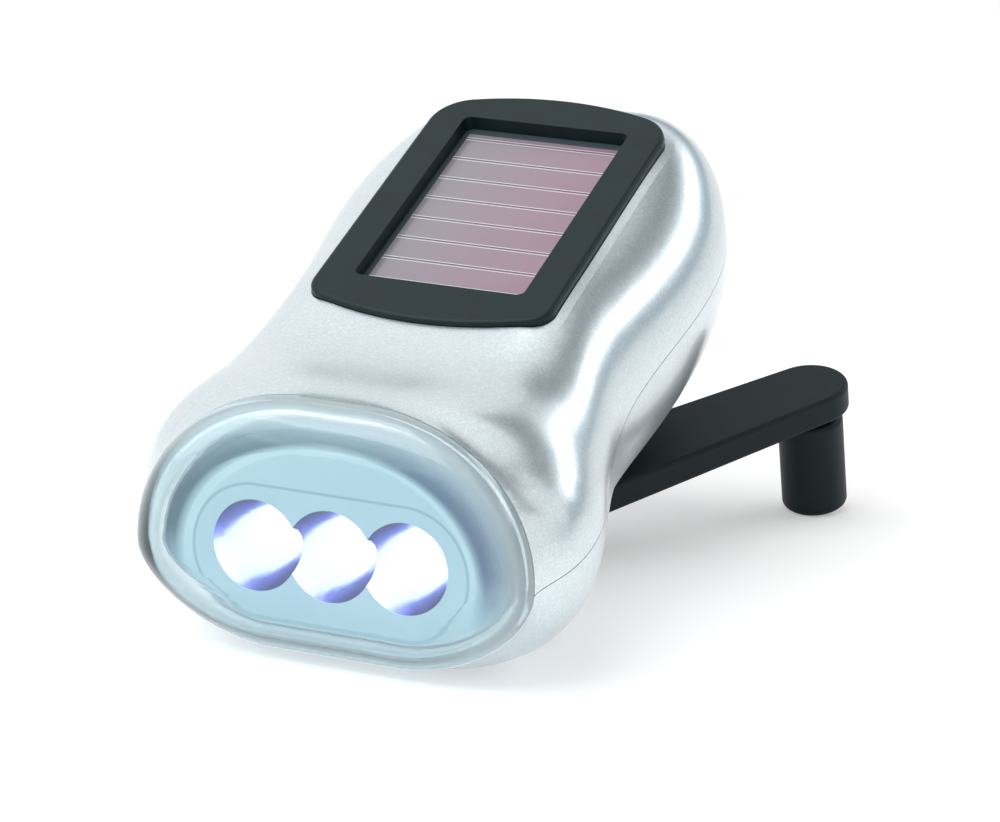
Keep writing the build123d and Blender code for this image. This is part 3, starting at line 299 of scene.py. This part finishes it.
# ---------------------------------------------------------------- lens
# One thick ice-blue polycarbonate moulding over the whole nose. Its face is polished clear; the
# rounded rim round it stays a little milky, as the mould leaves it.
seam_lean = math.radians(15.5)
seam_forward = Vector((0, -math.cos(seam_lean), math.sin(seam_lean)))
lens_plastic = surface(
    "ice-blue polycarbonate", "#d6e8ee", "#e2f0f4", 0.06, 20.0, 6.0, 0.002, IOR=1.49)
tree = lens_plastic.node_tree
shader = tree.nodes["Principled BSDF"]
normal = add(tree, "ShaderNodeTexCoord").outputs["Normal"]
facing = add(tree, "ShaderNodeVectorMath", {0: normal, 1: seam_forward}, operation="DOT_PRODUCT")
facing_either = add(tree, "ShaderNodeMath", {0: facing.outputs["Value"]}, operation="ABSOLUTE")
clearness = add(tree, "ShaderNodeMapRange", {
    "Value": facing_either.outputs[0], "From Min": 0.6, "From Max": 0.97, "To Min": 0.5, "To Max": 0.96})
tree.links.new(clearness.outputs[0], shader.inputs["Transmission Weight"])
light_path = add(tree, "ShaderNodeLightPath")
clear = add(tree, "ShaderNodeBsdfTransparent", {"Color": linear("#e8f5f8")})
lit = add(tree, "ShaderNodeMixShader", {
    0: light_path.outputs["Is Shadow Ray"], 1: shader.outputs[0], 2: clear.outputs[0]})
tree.links.new(lit.outputs[0], tree.nodes["Material Output"].inputs["Surface"])
dress(lens_plastic, "front_lens")

# ---------------------------------------------------------------- reflector
# ABS plate with three merged cups. The plate is satin and pale ice blue; the cups are vacuum
# plated and polished. The fine oval line round them is drawn in the material.
seam_origin = Vector((0, -0.0227, 0))
seam_up = Vector((0, math.sin(seam_lean), math.cos(seam_lean)))
plate_front = 1.0
cup_height = 20.8
cup_pitch = 11.8
oval_radius = 9.9
oval_width = 0.44
oval_strength = 0.55
cup_edge = 0.1
plated = surface(
    "vacuum plated ABS", "#d8e8ed", "#e6f1f4", 0.32, 12.0, 0.8, 0.004, Specular_IOR_Level=0.5)
tree = plated.node_tree
shader = tree.nodes["Principled BSDF"]
place = add(tree, "ShaderNodeTexCoord").outputs["Object"]
from_seam = add(tree, "ShaderNodeVectorMath", {0: place, 1: seam_origin}, operation="SUBTRACT")
depth = add(tree, "ShaderNodeVectorMath", {
    0: from_seam.outputs[0], 1: seam_forward * 1000}, operation="DOT_PRODUCT")
height = add(tree, "ShaderNodeVectorMath", {
    0: from_seam.outputs[0], 1: seam_up * 1000}, operation="DOT_PRODUCT")
width = add(tree, "ShaderNodeVectorMath", {
    0: from_seam.outputs[0], 1: (1000, 0, 0)}, operation="DOT_PRODUCT")
in_cup = add(tree, "ShaderNodeMath", {
    0: depth.outputs["Value"], 1: plate_front - cup_edge}, operation="LESS_THAN")
half = add(tree, "ShaderNodeMath", {0: width.outputs["Value"]}, operation="ABSOLUTE")
past_end = add(tree, "ShaderNodeMath", {0: half.outputs[0], 1: cup_pitch}, operation="SUBTRACT")
past_end = add(tree, "ShaderNodeMath", {0: past_end.outputs[0], 1: 0.0}, operation="MAXIMUM")
above = add(tree, "ShaderNodeMath", {0: height.outputs["Value"], 1: cup_height}, operation="SUBTRACT")
corner = add(tree, "ShaderNodeCombineXYZ", {0: past_end.outputs[0], 1: above.outputs[0]})
reach = add(tree, "ShaderNodeVectorMath", {0: corner.outputs[0]}, operation="LENGTH")
oval = add(tree, "ShaderNodeMath", {
    0: reach.outputs["Value"], 1: oval_radius, 2: oval_width / 2}, operation="COMPARE")
oval_drawn = add(tree, "ShaderNodeMath", {0: oval.outputs[0], 1: oval_strength}, operation="MULTIPLY")
plate_colour = shader.inputs["Base Color"].links[0].from_socket
drawn = add(tree, "ShaderNodeMix", {
    "Factor": oval_drawn.outputs[0], 6: plate_colour, 7: linear("#8fb3c4")}, data_type="RGBA")
# Painted refraction of the thick lens rim over the plate's border: a painted highlight line, then painted
# blue-grey shade, bluer at +X.
rim_shade_middle, rim_shade_half_width, rim_shade_half_height = 20.0, 27.7, 20.9
rim_shade_x = add(tree, "ShaderNodeMath", {0: half.outputs[0], 1: rim_shade_half_width}, operation="DIVIDE")
rim_shade_above = add(tree, "ShaderNodeMath", {
    0: height.outputs["Value"], 1: rim_shade_middle}, operation="SUBTRACT")
rim_shade_y = add(tree, "ShaderNodeMath", {
    0: rim_shade_above.outputs[0], 1: rim_shade_half_height}, operation="DIVIDE")
rim_shade_corner = add(tree, "ShaderNodeCombineXYZ", {0: rim_shade_x.outputs[0], 1: rim_shade_y.outputs[0]})
rim_shade_reach = add(tree, "ShaderNodeVectorMath", {0: rim_shade_corner.outputs[0]}, operation="LENGTH")
rim_shade_upper_half = add(tree, "ShaderNodeMapRange", {
    "Value": rim_shade_above.outputs[0], "From Min": -7.0, "From Max": 3.0})
in_painted_rim_shade = add(tree, "ShaderNodeMapRange", {
    "Value": rim_shade_reach.outputs["Value"], "From Min": 0.845, "From Max": 0.9})
in_painted_rim_highlight = add(tree, "ShaderNodeMath", {
    0: rim_shade_reach.outputs["Value"], 1: 0.82, 2: 0.025}, operation="COMPARE")
painted_rim_shade_share = add(tree, "ShaderNodeMath", {
    0: in_painted_rim_shade.outputs[0], 1: rim_shade_upper_half.outputs[0]}, operation="MULTIPLY")
painted_rim_highlight_share = add(tree, "ShaderNodeMath", {
    0: in_painted_rim_highlight.outputs[0], 1: rim_shade_upper_half.outputs[0]}, operation="MULTIPLY")
painted_rim_blueness = add(tree, "ShaderNodeMapRange", {
    "Value": width.outputs["Value"], "From Min": 2.0, "From Max": 26.0})
painted_rim_shade_colour = add(tree, "ShaderNodeMix", {
    "Factor": painted_rim_blueness.outputs[0], 6: linear("#4b7080"), 7: linear("#264f85")}, data_type="RGBA")
with_painted_rim_highlight = add(tree, "ShaderNodeMix", {
    "Factor": painted_rim_highlight_share.outputs[0], 6: drawn.outputs[2], 7: linear("#f2fafc")}, data_type="RGBA")
# Mixes in the painted rim shade here; on the solar panel the same name mixes in its real dark border.
border_or_painted_rim_shade = add(tree, "ShaderNodeMix", {
    "Factor": painted_rim_shade_share.outputs[0], 6: with_painted_rim_highlight.outputs[2], 7: painted_rim_shade_colour.outputs[2]}, data_type="RGBA")
# The cups' lavender colour is a painted reflection of the lit diodes' violet light.
cups_painted_led_reflection = add(tree, "ShaderNodeMix", {
    "Factor": in_cup.outputs[0], 6: border_or_painted_rim_shade.outputs[2], 7: linear("#b9bbe8")}, data_type="RGBA")
polish = add(tree, "ShaderNodeMapRange", {
    "Value": in_cup.outputs[0], "To Min": 0.32, "To Max": 0.2})
tree.links.new(cups_painted_led_reflection.outputs[2], shader.inputs["Base Color"])
tree.links.new(in_cup.outputs[0], shader.inputs["Metallic"])
tree.links.new(polish.outputs[0], shader.inputs["Roughness"])
dress(plated, "reflector")

# ---------------------------------------------------------------- lamps
# Three 5 mm diodes in clear epoxy, all lit: a cold white with a violet edge, brightest at the tip.
epoxy = surface(
    "clear epoxy over a white die", "#e8ebff", "#f7f8ff", 0.1, 4.0, 1.5, 0.002, Transmission_Weight=0.2)
tree = epoxy.node_tree
shader = tree.nodes["Principled BSDF"]
shader.inputs["Emission Color"].default_value = linear("#eef0ff")
shader.inputs["Emission Strength"].default_value = 2.0
dress(epoxy, "led_left", "led_middle", "led_right")

# ---------------------------------------------------------------- boards
# Glass-fibre boards under green solder mask, with copper tracks about 0.4 mm wide that show as a
# paler green.
solder_mask = surface("green solder mask on glass fibre", "#0d4a2c", "#15603a", 0.35, 5.0, 0.5, 0.006)
tree = solder_mask.node_tree
shader = tree.nodes["Principled BSDF"]
place = add(tree, "ShaderNodeTexCoord").outputs["Object"]
track_pitch = 1.3
tracks = add(tree, "ShaderNodeTexBrick", {
    "Vector": place, "Scale": 1000.0, "Mortar Size": 0.2, "Brick Width": 9.0, "Row Height": track_pitch,
    "Color1": linear("#125335"), "Color2": linear("#16603c"), "Mortar": linear("#3c8a5a")})
tree.links.new(tracks.outputs["Color"], shader.inputs["Base Color"])
dress(solder_mask, "led_board", "circuit_board")

# ---------------------------------------------------------------- components on the boards
# Black epoxy chip and switch body, a sleeved capacitor and a choke wound with lacquered wire.
chip_epoxy = surface("moulded black epoxy", "#141617", "#1d2021", 0.55, 2.0, 0.15, 0.006)
dress(chip_epoxy, "board_chip", "tact_switch")
sleeve = surface(
    "heat-shrink sleeve on aluminium", "#10151c", "#1b2430", 0.3, 4.0, 1.0, 0.004, Coat_Weight=0.3)
dress(sleeve, "board_capacitor")


def wound(name, dark, light, wire):
    """Lacquered copper wire wound side by side round an upright axis; wire is its thickness in mm."""
    made = surface(name, dark, light, 0.3, 3.0, 0.6, 0.003, Metallic=0.9)
    tree = made.node_tree
    place = add(tree, "ShaderNodeTexCoord").outputs["Object"]
    turns = add(tree, "ShaderNodeTexWave", {
        "Vector": place, "Scale": 1000 / (wire * math.pi), "Distortion": 0.4}, bands_direction="Z")
    ridges = add(tree, "ShaderNodeBump", {
        "Height": turns.outputs["Fac"], "Strength": 0.8, "Distance": wire / 3000})
    tree.links.new(ridges.outputs[0], tree.nodes["Principled BSDF"].inputs["Normal"])
    return made


dress(wound("enamelled copper wire", "#8f4a22", "#b9652f", 0.35), "board_coil", "dynamo_coil")

# ---------------------------------------------------------------- battery
# Three 15 mm button cells in a shrink wrap of green PVC, thin and glossy, with small creases.
shrink_wrap = surface(
    "green PVC shrink wrap", "#1c7a45", "#268f54", 0.22, 7.0, 1.8, 0.05, Coat_Weight=0.5)
dress(shrink_wrap, "battery_pack")

# ---------------------------------------------------------------- dynamo
# A drawn zinc-plated can with a turned rotor shaft.
zinc = surface("zinc-plated steel", "#a9adb0", "#c2c6c8", 0.32, 3.0, 0.3, 0.004, Metallic=1.0)
dress(zinc, "dynamo_case", "dynamo_rotor")

# ---------------------------------------------------------------- gears, plate and bush
# Acetal gears and bush, white and slightly waxy, and a grey glass-filled nylon plate over them.
acetal = surface(
    "white acetal", "#dedcd3", "#ebe9e1", 0.38, 5.0, 0.6, 0.006, Subsurface_Weight=0.1,
    Subsurface_Scale=0.001)
dress(acetal, "crank_gear", "compound_gear_1", "compound_gear_2", "crank_bush")
filled_nylon = surface("glass-filled grey nylon", "#4c5054", "#5d6165", 0.55, 1.2, 0.25, 0.015)
dress(filled_nylon, "gear_plate")

# ---------------------------------------------------------------- axles, shaft, pin and screws
# Ground steel rod, and small screws of nickel-plated steel.
ground_steel = surface("ground steel", "#9fa2a4", "#b9bcbe", 0.24, 2.0, 0.15, 0.003, Metallic=1.0)
dress(ground_steel, "gear_axle_1", "gear_axle_2", "crank_shaft", "knob_pin")
nickel = surface("nickel-plated steel", "#aaa79f", "#c4c1b9", 0.27, 2.0, 0.4, 0.005, Metallic=1.0)
dress(
    nickel, "crank_screw", "plate_screw_1", "plate_screw_2", "plate_screw_3", "case_screw_1",
    "case_screw_2", "case_screw_3", "case_screw_4")

# ---------------------------------------------------------------- crank arm and knob
# Black glass-filled nylon, moulded matte with a fine dry grain.
matte_nylon = surface(
    "matte black nylon", "#0a171a", "#122326", 0.5, 4.0, 0.3, 0.02, Specular_IOR_Level=0.2)
dress(matte_nylon, "crank_arm", "crank_knob")

# ---------------------------------------------------------------- push button
# Black silicone rubber cap in the tail, soft and dull.
rubber = surface("black silicone rubber", "#15191b", "#1e2325", 0.68, 3.0, 0.5, 0.01)
dress(rubber, "power_button")
